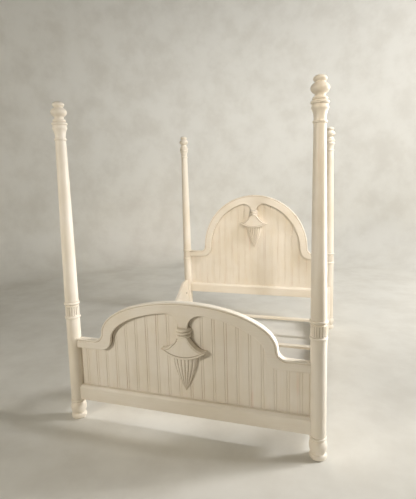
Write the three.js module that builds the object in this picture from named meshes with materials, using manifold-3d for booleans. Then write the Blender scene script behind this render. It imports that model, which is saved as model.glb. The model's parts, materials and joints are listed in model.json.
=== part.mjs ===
// A 1:12 miniature four poster bed, in millimetres.
// +X is to the right seen from the foot end, +Y runs from foot to head, and +Z is up.
// The origin is on the floor, midway between the four posts.

import * as THREE from 'three';
import { mergeVertices } from 'three/addons/utils/BufferGeometryUtils.js';
import Module from 'manifold-3d';

const wasm = await Module();
wasm.setup();

// Overall layout.
const POST_SPACING_X = 130;
const POST_SPACING_Y = 177.3;
const POST_X = POST_SPACING_X / 2;
const POST_Y = POST_SPACING_Y / 2;

// Clearances between pieces.
const FIT_GAP = 0.15;      // around a dowel, pin or coped end
const CURVE_GAP = 0.3;     // beside a curved rebate wall

// Turned posts, from the floor up.
const FOOT_TOP = 11;
const SHAFT_R = 3.65;
const COLLAR_LOW = 58;
const COLLAR_HIGH = 65.7;
const COLLAR_R = 4.15;
const POST_JOINT = 66.5;   // the lower and upper posts meet here
const NECK_RING = 152.6;
const CAP_RING = 160.5;
const POST_TOP = 161.3;
const BED_TOP = 171.8;
const FLUTES = 18;
const LATHE_SIDES = 16;

// Hidden joinery inside the posts.
const TENON_R = 1.5;
const TENON_LENGTH = 4;
const POST_DOWEL_R = 1.2;
const POST_DOWEL_HALF = 5;
const FINIAL_PIN_R = 1;
const FINIAL_PIN_LENGTH = 5;
const BOARD_DOWEL_R = 0.8;
const BOARD_DOWEL_HALF = 2.2;

// Boards: the frame is BOARD_HALF each side of the posts' axes, and the beaded
// panel is let into its back.
const BOARD_HALF = 2;
const PANEL_FRONT = 0.6;
const PANEL_BACK = 1.9;
const PANEL_HALF_WIDTH = 61.2;
const PANEL_LAP = 2;       // how far the panel reaches behind the frame
const PLANKS = 19;         // full planks, with a part plank at each side
const PLANK_PITCH = 6.04;
const BEAD_HALF = 0.6;     // from the middle of a bead to each of its quirks
const QUIRK = 0.18;        // half width of a quirk, and half its depth

const FOOTBOARD = {
  name: 'footboard',
  y: -POST_Y,
  top: 70.2,
  outerHalf: 46.8,
  shoulderTop: 46.2,
  outerFillet: 4.5,
  innerTop: 64.6,
  innerHalf: 41.2,
  shoulderBottom: 41.3,
  innerFillet: 6,
  railTop: 19.6,
  railBottom: 11.5,
  pendantTop: 57.4,
};

const HEADBOARD = {
  name: 'headboard',
  y: POST_Y,
  top: 116.8,
  outerHalf: 46.8,
  shoulderTop: 65.4,
  outerFillet: 4.5,
  innerTop: 110.1,
  innerHalf: 40.7,
  shoulderBottom: 60.3,
  innerFillet: 8.5,
  railTop: 34.4,
  railBottom: 26.3,
  pendantTop: 103.3,
};

// The neck that joins each crest to its pendant.
const NECK_HALF = 2.4;
const NECK_FLARE = 7.2;    // how far the neck widens each side, up into the arch

// Pendant: a split turning with a fluted drop. Heights are measured down from its top.
const BAND_R = 3.9;
const BAND_STRETCH = 1.35; // depth of the bands, as a share of a true half round
const BAND_COUNT = 3;
const BAND_PITCH = 1.6;
const BELL_TOP = BAND_COUNT * BAND_PITCH;
const BELL_TOP_HALF = 2.5;
const BELL_TIP_HALF = 12;
const BELL_TIP_DROP = 11.3;
const BELL_MIDDLE_DROP = 15.3;
const BELL_TOP_DEPTH = 3.7;
const BELL_RIM_DEPTH = 4.6;
const DROP_TOP_GAP = 0.15;
const DROP_HALF = 7.1;
const DROP_DEPTH = 3.5;
const DROP_LENGTH = 18.4;
const DROP_RIBS = 7;

// Side rails, with a scroll bracket at each end.
const RAIL_HALF = 1.2;
const RAIL_BOTTOM = 11.5;
const RAIL_TOP = 23;
const BRACKET_TOP = 37.5;
const BRACKET_START = 44;  // where the scroll leaves the straight top
const BRACKET_END = 78;    // where the scroll reaches its flat top

// Slats on ledgers.
const LEDGER_TOP = 15.4;
const LEDGER_HEIGHT = 1.9;
const LEDGER_WIDTH = 1.8;
const LEDGER_HALF_LENGTH = 70;
const SLAT_SPACING = 56;
const SLAT_WIDTH = 3.6;
const SLAT_THICKNESS = 1.8;
const SLAT_HALF_LENGTH = 63.4;

// Rail bolts and their barrel nuts.
const BOLT_Z = 25.5;
const BOLT_R = 0.35;
const BOLT_HOLE_R = 0.5;
const BOLT_IN_POST = 87.6;
const NUT_Y = 80.8;
const NUT_R = 0.95;
const NUT_LENGTH = 1.5;
const POCKET_R = 1.2;
const POCKET_DEPTH = 1.9;

// ---------------------------------------------------------------- materials

const creamPaint = (name) => new THREE.MeshStandardMaterial({
  name, color: 0xe8dcc4, roughness: 0.5, metalness: 0,
});
const bareWood = (name) => new THREE.MeshStandardMaterial({
  name, color: 0xc9a877, roughness: 0.7, metalness: 0,
});
const steel = (name) => new THREE.MeshStandardMaterial({
  name, color: 0x6f665a, roughness: 0.45, metalness: 1,
});

// ------------------------------------------------------------------ solids

function toSolid(geometry) {
  const plain = geometry.clone();
  plain.deleteAttribute('normal');
  plain.deleteAttribute('uv');
  const merged = mergeVertices(plain, 1e-4);
  return new wasm.Manifold(new wasm.Mesh({
    numProp: 3,
    vertProperties: new Float32Array(merged.attributes.position.array),
    triVerts: new Uint32Array(merged.index.array),
  }));
}

function toGeometry(solid) {
  const { vertProperties, triVerts } = solid.getMesh();
  const geometry = new THREE.BufferGeometry();
  geometry.setAttribute('position', new THREE.BufferAttribute(new Float32Array(vertProperties), 3));
  geometry.setIndex(new THREE.BufferAttribute(new Uint32Array(triVerts), 1));
  geometry.computeVertexNormals();
  return geometry;
}

// Joins loops of points, all with the same count, into one closed body. project gives
// the plane in which the two end loops are filled: the loops run anticlockwise in it
// and are stacked towards the side it is seen from.
function loftLoops(loops, project) {
  const count = loops[0].length;
  const positions = loops.flat().flatMap((point) => point.toArray());
  const index = [];
  for (let level = 0; level < loops.length - 1; level += 1) {
    for (let i = 0; i < count; i += 1) {
      const next = (i + 1) % count;
      const low = level * count;
      const high = low + count;
      index.push(low + i, low + next, high + next, low + i, high + next, high + i);
    }
  }
  const lastStart = (loops.length - 1) * count;
  for (const [a, b, c] of THREE.ShapeUtils.triangulateShape(loops[0].map(project), [])) {
    index.push(a, c, b);
  }
  for (const [a, b, c] of THREE.ShapeUtils.triangulateShape(loops.at(-1).map(project), [])) {
    index.push(lastStart + a, lastStart + b, lastStart + c);
  }
  const geometry = new THREE.BufferGeometry();
  geometry.setAttribute('position', new THREE.Float32BufferAttribute(positions, 3));
  geometry.setIndex(index);
  return geometry;
}

// A shape drawn in one plane and given a thickness along the third axis.
const PLANES = {
  xz: [new THREE.Vector3(1, 0, 0), new THREE.Vector3(0, 0, 1), new THREE.Vector3(0, -1, 0)],
  yz: [new THREE.Vector3(0, 1, 0), new THREE.Vector3(0, 0, 1), new THREE.Vector3(1, 0, 0)],
  xy: [new THREE.Vector3(1, 0, 0), new THREE.Vector3(0, 1, 0), new THREE.Vector3(0, 0, 1)],
};

function plate(points, plane, start, depth) {
  const geometry = new THREE.ExtrudeGeometry(new THREE.Shape(points), {
    depth, bevelEnabled: false, steps: 1,
  });
  geometry.translate(0, 0, start);
  geometry.applyMatrix4(new THREE.Matrix4().makeBasis(...PLANES[plane]));
  return geometry;
}

function block(low, high) {
  const size = new THREE.Vector3().subVectors(high, low);
  const centre = new THREE.Vector3().addVectors(low, high).multiplyScalar(0.5);
  return new THREE.BoxGeometry(size.x, size.y, size.z).translate(centre.x, centre.y, centre.z);
}

// A round bar between two points that differ along one axis only.
function bar(from, to, radius, sides = 12) {
  const along = new THREE.Vector3().subVectors(to, from);
  const middle = new THREE.Vector3().addVectors(from, to).multiplyScalar(0.5);
  const geometry = new THREE.CylinderGeometry(radius, radius, along.length(), sides);
  const turn = new THREE.Quaternion().setFromUnitVectors(
    new THREE.Vector3(0, 1, 0), along.normalize(),
  );
  return geometry.applyQuaternion(turn).translate(middle.x, middle.y, middle.z);
}

const cut = (body, ...tools) => toGeometry(
  tools.reduce((solid, tool) => solid.subtract(toSolid(tool)), toSolid(body)),
);
const join = (body, ...others) => toGeometry(
  others.reduce((solid, other) => solid.add(toSolid(other)), toSolid(body)),
);
const vec = (x, y, z) => new THREE.Vector3(x, y, z);

// Points on an ellipse arc, angles in degrees, both ends included.
function arc(centreX, centreY, radiusX, radiusY, from, to, steps) {
  const points = [];
  for (let i = 0; i <= steps; i += 1) {
    const angle = THREE.MathUtils.degToRad(from + ((to - from) * i) / steps);
    points.push(new THREE.Vector2(
      centreX + radiusX * Math.cos(angle), centreY + radiusY * Math.sin(angle),
    ));
  }
  return points;
}

// ------------------------------------------------------------------- posts

const BEAD_STEPS = 3;
const at = (radius, height) => new THREE.Vector2(radius, height);

// A half round moulding on a turning, from its lower to its upper edge.
const bead = (baseR, peakR, z, halfHeight) => (
  arc(baseR, z, peakR - baseR, halfHeight, -90, 90, BEAD_STEPS)
);

function turn(profile) {
  return new THREE.LatheGeometry(profile, LATHE_SIDES).rotateX(Math.PI / 2);
}

function footGeometry() {
  const tenonTop = FOOT_TOP + TENON_LENGTH;
  return turn([
    at(0, 0),
    at(3.4, 0),
    ...arc(3.3, 1.6, 0.8, 1.3, -80, 80, 3),
    ...arc(2.9, 6.2, 1.3, 3.3, -55, 68, 4),
    ...bead(3.55, 3.95, 10.2, 0.75),
    at(TENON_R, FOOT_TOP),
    at(TENON_R, tenonTop),
    at(0, tenonTop),
  ]);
}

function lowerPostProfile() {
  const tenonHole = TENON_R + FIT_GAP;
  const dowelHole = POST_DOWEL_R + FIT_GAP;
  return [
    at(0, FOOT_TOP + TENON_LENGTH + FIT_GAP),
    at(tenonHole, FOOT_TOP + TENON_LENGTH + FIT_GAP),
    at(tenonHole, FOOT_TOP),
    at(SHAFT_R - 0.1, FOOT_TOP),
    at(SHAFT_R, FOOT_TOP + 0.6),
    at(SHAFT_R, COLLAR_LOW - 0.8),
    ...bead(3.65, COLLAR_R, COLLAR_LOW, 0.75),
    at(3.6, COLLAR_LOW + 1),
    at(3.6, COLLAR_HIGH - 1.4),
    at(3.3, COLLAR_HIGH - 1),
    ...bead(3.5, COLLAR_R, COLLAR_HIGH, 0.75),
    at(dowelHole, POST_JOINT),
    at(dowelHole, POST_JOINT - POST_DOWEL_HALF - FIT_GAP),
    at(0, POST_JOINT - POST_DOWEL_HALF - FIT_GAP),
  ];
}

// The reeded band is cut by a ring of narrow upright grooves.
function fluteCutters() {
  const low = COLLAR_LOW + 1.2;
  const high = COLLAR_HIGH - 1.6;
  return Array.from({ length: FLUTES }, (_, i) => {
    const angle = (2 * Math.PI * (i + 0.5)) / FLUTES;
    const x = 3.72 * Math.cos(angle);
    const y = 3.72 * Math.sin(angle);
    return bar(vec(x, y, low), vec(x, y, high), 0.4, 4);
  });
}

function lowerPostGeometry(board, sideX, railY) {
  const holeR = BOARD_DOWEL_R + FIT_GAP;
  const dowelCutters = boardDowelHeights(board).map((z) => (
    bar(vec(0, 0, z), vec(-sideX * (SHAFT_R + 1), 0, z), holeR)
  ));
  const boltCutter = bar(
    vec(0, railY * (POST_Y - BOLT_IN_POST - FIT_GAP), BOLT_Z),
    vec(0, railY * (SHAFT_R + 1), BOLT_Z),
    BOLT_HOLE_R,
  );
  return cut(turn(lowerPostProfile()), ...fluteCutters(), ...dowelCutters, boltCutter);
}

// The upper shaft swells a little before it tapers to the neck ring.
function shaftRadius(z) {
  const along = (z - POST_JOINT) / (NECK_RING - POST_JOINT);
  return 3.6 - 0.9 * along ** 1.25;
}

function upperPostGeometry() {
  const dowelHole = POST_DOWEL_R + FIT_GAP;
  const pinHole = FINIAL_PIN_R + FIT_GAP;
  const shaft = [];
  for (let i = 0; i <= 4; i += 1) {
    const z = THREE.MathUtils.lerp(POST_JOINT, NECK_RING - 0.7, i / 4);
    shaft.push(at(shaftRadius(z), z));
  }
  return turn([
    at(0, POST_JOINT + POST_DOWEL_HALF + FIT_GAP),
    at(dowelHole, POST_JOINT + POST_DOWEL_HALF + FIT_GAP),
    at(dowelHole, POST_JOINT),
    ...shaft,
    ...bead(2.7, 3.1, NECK_RING, 0.6),
    at(2.68, 156.5),
    ...arc(4.4, 156.5, 1.72, 3, 165, 125, 2),
    ...bead(3.45, 3.95, CAP_RING, 0.72),
    at(3.2, POST_TOP),
    at(pinHole, POST_TOP),
    at(pinHole, POST_TOP - FINIAL_PIN_LENGTH - FIT_GAP),
    at(0, POST_TOP - FINIAL_PIN_LENGTH - FIT_GAP),
  ]);
}

function finialGeometry() {
  return turn([
    at(0, POST_TOP - FINIAL_PIN_LENGTH),
    at(FINIAL_PIN_R, POST_TOP - FINIAL_PIN_LENGTH),
    at(FINIAL_PIN_R, POST_TOP),
    at(3.1, POST_TOP),
    ...bead(3, 3.25, 162.2, 0.6),
    at(2.2, 163.5),
    ...arc(0, 166.4, 3.95, 2.8, -56, 56, 5),
    ...arc(0, 170.1, 2.92, 1.7, -48, 75, 4),
    at(0, BED_TOP),
  ]);
}

function postDowelGeometry() {
  return bar(
    vec(0, 0, POST_JOINT - POST_DOWEL_HALF), vec(0, 0, POST_JOINT + POST_DOWEL_HALF), POST_DOWEL_R,
  );
}

// ------------------------------------------------------------------ boards

const boardDowelHeights = (board) => [
  (board.railBottom + board.railTop) / 2,
  (board.shoulderBottom + board.shoulderTop) / 2,
];

// The crest's outer edge from left to right, drawn in by inset.
function outerEdge(board, inset) {
  const base = board.shoulderTop + board.outerFillet;
  const filletX = board.outerHalf + board.outerFillet;
  const filletR = board.outerFillet + inset;
  const half = board.outerHalf - inset;
  const left = arc(-filletX, base, filletR, filletR, -90, 0, 3);
  const right = left.map((point) => new THREE.Vector2(-point.x, point.y)).reverse();
  const over = arc(0, base, half, board.top - base - inset, 180, 0, 20).slice(1, -1);
  return [
    new THREE.Vector2(-POST_X, board.shoulderTop - inset),
    ...left, ...over, ...right,
    new THREE.Vector2(POST_X, board.shoulderTop - inset),
  ];
}

// Right half of the crest's inner edge from the post to the arch, cut back by grow.
function innerSide(board, grow) {
  const filletX = board.innerHalf + board.innerFillet;
  const base = board.shoulderBottom + board.innerFillet;
  const filletR = board.innerFillet - grow;
  return [
    new THREE.Vector2(POST_X, board.shoulderBottom + grow),
    ...arc(filletX, base, filletR, filletR, 270, 180, 3),
  ];
}

// The crest's inner edge from right to left, with the neck that carries the pendant.
function innerEdge(board) {
  const base = board.shoulderBottom + board.innerFillet;
  const rise = board.innerTop - base;
  const neckX = NECK_HALF + NECK_FLARE;
  const neckEnd = board.pendantTop + FIT_GAP;
  const flareAngle = THREE.MathUtils.radToDeg(Math.acos(neckX / board.innerHalf));
  const flareTop = base + rise * Math.sin(THREE.MathUtils.degToRad(flareAngle));
  const right = [
    ...innerSide(board, 0),
    ...arc(0, base, board.innerHalf, rise, 0, flareAngle, 8).slice(1, -1),
    ...arc(neckX, neckEnd, NECK_FLARE, flareTop - neckEnd, 90, 180, 4),
  ];
  return [...right, ...right.map((point) => new THREE.Vector2(-point.x, point.y)).reverse()];
}

// The beaded panel's own outline, which laps behind the frame by lap.
function panelOutline(board, lap, halfWidth, bottom) {
  const base = board.shoulderBottom + board.innerFillet;
  const over = arc(0, base, board.innerHalf + lap, board.innerTop - base + lap, 0, 180, 20);
  const right = innerSide(board, lap);
  right[0].x = halfWidth;
  const left = right.map((point) => new THREE.Vector2(-point.x, point.y)).reverse();
  return [
    new THREE.Vector2(halfWidth, bottom),
    ...right.slice(0, -1), ...over, ...left.slice(1),
    new THREE.Vector2(-halfWidth, bottom),
  ];
}

// The room a lower post takes up, collar and all, with a gap around it.
function postRoom(place) {
  const shaft = SHAFT_R + FIT_GAP;
  const collar = COLLAR_R + FIT_GAP;
  const ringRoom = (z) => [at(shaft, z - 0.9), at(collar, z - 0.5), at(collar, z + 0.5), at(shaft, z + 0.9)];
  return turn([
    at(0, 0),
    at(shaft, 0),
    ...ringRoom(COLLAR_LOW),
    ...ringRoom(COLLAR_HIGH),
    at(shaft, POST_JOINT + 5),
    at(0, POST_JOINT + 5),
  ]).translate(place.x, place.y, place.z);
}

// Both posts' room, so that a board's ends are coped to them.
const copingCutters = () => [-1, 1].map((sideX) => postRoom(vec(sideX * POST_X, 0, 0)));

const boardDowelCutters = (z) => [-1, 1].map((sideX) => bar(
  vec(sideX * (POST_X - SHAFT_R - BOARD_DOWEL_HALF - FIT_GAP), 0, z),
  vec(sideX * POST_X, 0, z),
  BOARD_DOWEL_R + FIT_GAP,
));

// The crest's front edge carries a bead and a quirk, and its back edge is eased.
const CREST_LEVELS = [
  { y: BOARD_HALF, inset: 0.3 },
  { y: BOARD_HALF - 0.3, inset: 0 },
  { y: -BOARD_HALF + 0.5, inset: 0 },
  { y: -BOARD_HALF, inset: 0.5 },
  { y: -BOARD_HALF, inset: 0.9 },
  { y: -BOARD_HALF + 0.4, inset: 1.15 },
  { y: -BOARD_HALF, inset: 1.4 },
];

function crestGeometry(board) {
  const inner = innerEdge(board);
  const loops = CREST_LEVELS.map(({ y, inset }) => (
    [...outerEdge(board, inset), ...inner].map((point) => vec(point.x, y, point.y)).reverse()
  ));
  const body = loftLoops(loops, (point) => new THREE.Vector2(point.x, point.z));
  const rebate = plate(
    panelOutline(board, PANEL_LAP + CURVE_GAP, POST_X, board.railBottom),
    'xz', -BOARD_HALF - 1, BOARD_HALF + 1 - PANEL_FRONT,
  );
  const [, shoulderDowel] = boardDowelHeights(board);
  return cut(body, rebate, ...copingCutters(), ...boardDowelCutters(shoulderDowel));
}

// Beadboard: a double quirk with a bead between, once in every plank pitch.
function panelSection() {
  const points = [new THREE.Vector2(-PANEL_HALF_WIDTH, PANEL_FRONT)];
  for (let line = 0; line <= PLANKS; line += 1) {
    const middle = (line - PLANKS / 2) * PLANK_PITCH;
    for (const quirk of [middle - BEAD_HALF, middle + BEAD_HALF]) {
      points.push(new THREE.Vector2(quirk - QUIRK, PANEL_FRONT));
      points.push(new THREE.Vector2(quirk, PANEL_FRONT + 2 * QUIRK));
      points.push(new THREE.Vector2(quirk + QUIRK, PANEL_FRONT));
    }
  }
  points.push(new THREE.Vector2(PANEL_HALF_WIDTH, PANEL_FRONT));
  points.push(new THREE.Vector2(PANEL_HALF_WIDTH, PANEL_BACK));
  points.push(new THREE.Vector2(-PANEL_HALF_WIDTH, PANEL_BACK));
  return points;
}

function panelGeometry(board) {
  const bottom = board.railTop - PANEL_LAP;
  const beaded = plate(panelSection(), 'xy', bottom, board.top - bottom);
  const outline = plate(
    panelOutline(board, PANEL_LAP, POST_X, bottom - 1), 'xz', -BOARD_HALF - 1, 2 * BOARD_HALF + 2,
  );
  const arched = toGeometry(toSolid(beaded).intersect(toSolid(outline)));
  return cut(arched, ...copingCutters());
}

function bottomRailGeometry(board) {
  const point = (y, z) => new THREE.Vector2(y, z);
  const rebateFloor = board.railTop - PANEL_LAP;
  const body = plate([
    point(-BOARD_HALF, board.railBottom),
    point(BOARD_HALF, board.railBottom),
    point(BOARD_HALF, rebateFloor),
    point(PANEL_FRONT, rebateFloor),
    point(PANEL_FRONT, board.railTop),
    point(-0.9, board.railTop),
    point(-BOARD_HALF, board.railTop - 1.2),
  ], 'yz', -POST_X, POST_SPACING_X);
  const [railDowel] = boardDowelHeights(board);
  return cut(body, ...copingCutters(), ...boardDowelCutters(railDowel));
}

function boardDowelGeometry(sideX, z) {
  const contact = POST_X - SHAFT_R;
  return bar(
    vec(sideX * (contact - BOARD_DOWEL_HALF), 0, z),
    vec(sideX * (contact + BOARD_DOWEL_HALF), 0, z),
    BOARD_DOWEL_R,
  );
}

// ---------------------------------------------------------------- pendants

// Flat backed section of a relief carving: a bulging front of given half width and
// depth, standing on the panel, as points from left to right and back along the panel.
function reliefLoop(halfWidth, depth, heightAt, steps, ribs) {
  const loop = [];
  for (let i = 0; i <= steps; i += 1) {
    const across = -1 + (2 * i) / steps;
    const swell = Math.sqrt(Math.max(0, 1 - across * across));
    const crown = ribs ? 1 - 0.16 * (i % 2 === 0 ? 1 : 0) : 1;
    const lift = 0.35 + (depth - 0.35) * swell * crown;
    loop.push(vec(across * halfWidth, PANEL_FRONT - lift, heightAt(across)));
  }
  loop.push(vec(halfWidth, PANEL_FRONT, heightAt(1)));
  loop.push(vec(-halfWidth, PANEL_FRONT, heightAt(-1)));
  return loop;
}

function bandsGeometry(top) {
  const profile = [at(0, top - BELL_TOP - 0.2)];
  for (let band = BAND_COUNT - 1; band >= 0; band -= 1) {
    const z = top - (band + 0.5) * BAND_PITCH;
    profile.push(...bead(BAND_R - 0.7, BAND_R, z, BAND_PITCH / 2 - 0.05));
  }
  profile.push(at(0, top));
  const round = turn(profile).scale(1, BAND_STRETCH, 1).translate(0, PANEL_FRONT, 0);
  return cut(round, block(vec(-9, PANEL_FRONT, 0), vec(9, 9, BED_TOP)));
}

// The bell flares from the bands to two pointed tips, above a rim that sags between them.
function bellGeometry(top) {
  const rows = 5;
  const loops = [];
  for (let row = rows; row >= 0; row -= 1) {
    const down = row / rows;
    const flare = 1 - (1 - down) ** 0.45;
    const halfWidth = THREE.MathUtils.lerp(BELL_TOP_HALF, BELL_TIP_HALF, flare);
    const edgeZ = top - THREE.MathUtils.lerp(BELL_TOP, BELL_TIP_DROP, down);
    const sag = (BELL_MIDDLE_DROP - BELL_TIP_DROP) * down;
    loops.push(reliefLoop(
      halfWidth, THREE.MathUtils.lerp(BELL_TOP_DEPTH, BELL_RIM_DEPTH, down),
      (across) => edgeZ - sag * (1 - across * across), 12, false,
    ));
  }
  return loftLoops(loops, (point) => new THREE.Vector2(point.x, point.y));
}

function pendantCapGeometry(board) {
  return join(bandsGeometry(board.pendantTop), bellGeometry(board.pendantTop));
}

// A pointed drop whose ribs run together at its tip.
function pendantDropGeometry(board) {
  const rows = 7;
  const rimZ = board.pendantTop - BELL_MIDDLE_DROP - DROP_TOP_GAP;
  const rise = BELL_MIDDLE_DROP - BELL_TIP_DROP;
  const cornerRise = rise * (DROP_HALF / BELL_TIP_HALF) ** 2;
  const loops = [];
  for (let row = rows; row >= 0; row -= 1) {
    const down = row / rows;
    const width = (1 - 0.995 * down ** 1.6) ** 0.95;
    const level = rimZ - DROP_LENGTH * down;
    const lift = cornerRise * (1 - down);
    loops.push(reliefLoop(
      DROP_HALF * width, 0.5 + (DROP_DEPTH - 0.5) * width,
      (across) => level + lift * across * across, 2 * DROP_RIBS, true,
    ));
  }
  return loftLoops(loops, (point) => new THREE.Vector2(point.x, point.y));
}

// -------------------------------------------------------- rails, slats, bolts

function sideRailGeometry(sideX) {
  const end = POST_Y;
  const outline = new THREE.Path();
  outline.moveTo(-end, RAIL_BOTTOM);
  outline.lineTo(end, RAIL_BOTTOM);
  outline.lineTo(end, BRACKET_TOP);
  outline.lineTo(BRACKET_END, BRACKET_TOP);
  outline.bezierCurveTo(70.5, BRACKET_TOP, 62, RAIL_TOP, BRACKET_START, RAIL_TOP);
  outline.lineTo(-BRACKET_START, RAIL_TOP);
  outline.bezierCurveTo(-62, RAIL_TOP, -70.5, BRACKET_TOP, -BRACKET_END, BRACKET_TOP);
  outline.lineTo(-end, BRACKET_TOP);
  const body = plate(outline.getPoints(8), 'yz', -RAIL_HALF, 2 * RAIL_HALF);
  const inner = -sideX * RAIL_HALF;
  const tools = [];
  for (const endY of [-1, 1]) {
    tools.push(postRoom(vec(0, endY * POST_Y, 0)));
    tools.push(bar(
      vec(0, endY * (NUT_Y - 1), BOLT_Z), vec(0, endY * POST_Y, BOLT_Z), BOLT_HOLE_R,
    ));
    tools.push(bar(
      vec(inner - sideX, endY * NUT_Y, BOLT_Z),
      vec(inner + sideX * POCKET_DEPTH, endY * NUT_Y, BOLT_Z),
      POCKET_R,
    ));
  }
  return cut(body, ...tools);
}

function ledgerGeometry(sideX) {
  const outer = -sideX * RAIL_HALF;
  const inner = outer - sideX * LEDGER_WIDTH;
  return block(
    vec(Math.min(outer, inner), -LEDGER_HALF_LENGTH, LEDGER_TOP - LEDGER_HEIGHT),
    vec(Math.max(outer, inner), LEDGER_HALF_LENGTH, LEDGER_TOP),
  );
}

function slatGeometry() {
  return block(
    vec(-SLAT_HALF_LENGTH, -SLAT_WIDTH / 2, LEDGER_TOP),
    vec(SLAT_HALF_LENGTH, SLAT_WIDTH / 2, LEDGER_TOP + SLAT_THICKNESS),
  );
}

function railBoltGeometry(endY) {
  return bar(vec(0, endY * (NUT_Y - 0.7), BOLT_Z), vec(0, endY * BOLT_IN_POST, BOLT_Z), BOLT_R, 8);
}

// A barrel nut with a screwdriver slot in its face and a cross hole for the bolt.
function railNutGeometry(sideX, endY) {
  const back = sideX * 0.6;
  const face = back - sideX * NUT_LENGTH;
  const body = bar(vec(back, endY * NUT_Y, BOLT_Z), vec(face, endY * NUT_Y, BOLT_Z), NUT_R);
  const crossHole = bar(vec(0, NUT_Y * endY - 2, BOLT_Z), vec(0, NUT_Y * endY + 2, BOLT_Z), 0.45, 8);
  const slotX = [face - sideX, face + sideX * 0.3];
  const slot = block(
    vec(Math.min(...slotX), endY * NUT_Y - 0.15, BOLT_Z - 2),
    vec(Math.max(...slotX), endY * NUT_Y + 0.15, BOLT_Z + 2),
  );
  return cut(body, crossHole, slot);
}

// ---------------------------------------------------------------- assembly

const bed = new THREE.Group();

function add(name, geometry, material, position = vec(0, 0, 0)) {
  const mesh = new THREE.Mesh(geometry, material(name));
  mesh.name = name;
  mesh.position.copy(position);
  bed.add(mesh);
}

function addPosts() {
  for (const [board, endName, endY] of [[FOOTBOARD, 'foot', -1], [HEADBOARD, 'head', 1]]) {
    for (const [sideName, sideX] of [['left', -1], ['right', 1]]) {
      const place = vec(sideX * POST_X, endY * POST_Y, 0);
      const label = `${endName}_${sideName}`;
      add(`${label}_bun_foot`, footGeometry(), creamPaint, place);
      add(`${label}_lower_post`, lowerPostGeometry(board, sideX, -endY), creamPaint, place);
      add(`${label}_upper_post`, upperPostGeometry(), creamPaint, place);
      add(`${label}_finial`, finialGeometry(), creamPaint, place);
      add(`${label}_post_dowel`, postDowelGeometry(), bareWood, place);
    }
  }
}

function addBoard(board) {
  const place = vec(0, board.y, 0);
  add(`${board.name}_crest`, crestGeometry(board), creamPaint, place);
  add(`${board.name}_panel`, panelGeometry(board), creamPaint, place);
  add(`${board.name}_bottom_rail`, bottomRailGeometry(board), creamPaint, place);
  add(`${board.name}_pendant_cap`, pendantCapGeometry(board), creamPaint, place);
  add(`${board.name}_pendant_drop`, pendantDropGeometry(board), creamPaint, place);
  const [railDowel, crestDowel] = boardDowelHeights(board);
  for (const [sideName, sideX] of [['left', -1], ['right', 1]]) {
    add(`${board.name}_rail_dowel_${sideName}`, boardDowelGeometry(sideX, railDowel), bareWood, place);
    add(`${board.name}_crest_dowel_${sideName}`, boardDowelGeometry(sideX, crestDowel), bareWood, place);
  }
}

function addSide(sideName, sideX) {
  const place = vec(sideX * POST_X, 0, 0);
  add(`${sideName}_side_rail`, sideRailGeometry(sideX), creamPaint, place);
  add(`${sideName}_ledger`, ledgerGeometry(sideX), bareWood, place);
  for (const [endName, endY] of [['foot', -1], ['head', 1]]) {
    add(`${endName}_${sideName}_rail_bolt`, railBoltGeometry(endY), steel, place);
    add(`${endName}_${sideName}_rail_nut`, railNutGeometry(sideX, endY), steel, place);
  }
}

function addSlats() {
  for (const [name, row] of [['slat_foot', -1], ['slat_middle', 0], ['slat_head', 1]]) {
    add(name, slatGeometry(), creamPaint, vec(0, row * SLAT_SPACING, 0));
  }
}

addPosts();
addBoard(FOOTBOARD);
addBoard(HEADBOARD);
addSide('left', -1);
addSide('right', 1);
addSlats();

export default bed;
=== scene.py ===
"""Looks for the 1:12 miniature four poster bed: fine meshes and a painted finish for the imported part.

The mesh code works in millimetres, in the frame of the part, and Shape.to_mesh turns them into metres.
"""

import json
import math

import bmesh
import bpy
import numpy as np
from mathutils import Matrix, Vector

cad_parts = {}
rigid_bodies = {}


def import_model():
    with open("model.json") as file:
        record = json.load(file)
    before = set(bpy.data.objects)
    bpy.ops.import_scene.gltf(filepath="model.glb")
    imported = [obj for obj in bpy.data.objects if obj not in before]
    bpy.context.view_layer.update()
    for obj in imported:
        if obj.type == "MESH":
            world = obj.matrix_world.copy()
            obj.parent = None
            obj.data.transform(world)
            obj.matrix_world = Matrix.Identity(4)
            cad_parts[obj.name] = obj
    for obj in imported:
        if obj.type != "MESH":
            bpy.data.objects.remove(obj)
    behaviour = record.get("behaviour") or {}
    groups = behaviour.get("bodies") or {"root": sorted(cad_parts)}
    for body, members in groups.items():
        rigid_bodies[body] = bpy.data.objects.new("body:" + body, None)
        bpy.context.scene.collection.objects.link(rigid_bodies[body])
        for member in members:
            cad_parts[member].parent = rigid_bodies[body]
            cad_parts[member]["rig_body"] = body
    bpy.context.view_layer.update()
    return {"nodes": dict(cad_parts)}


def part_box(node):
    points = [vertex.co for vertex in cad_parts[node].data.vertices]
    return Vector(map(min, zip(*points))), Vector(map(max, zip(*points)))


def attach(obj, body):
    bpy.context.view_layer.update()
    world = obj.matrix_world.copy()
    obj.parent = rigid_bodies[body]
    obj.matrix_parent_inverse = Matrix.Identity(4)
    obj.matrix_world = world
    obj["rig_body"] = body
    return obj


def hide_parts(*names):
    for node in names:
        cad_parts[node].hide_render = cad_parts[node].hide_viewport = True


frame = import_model()

MM = 0.001


def box_mm(node):
    """Lowest and highest corner of a CAD node, in millimetres."""
    low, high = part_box(node)
    return np.array(low) / MM, np.array(high) / MM


def centre_mm(node):
    low, high = box_mm(node)
    return (low + high) / 2


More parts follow.
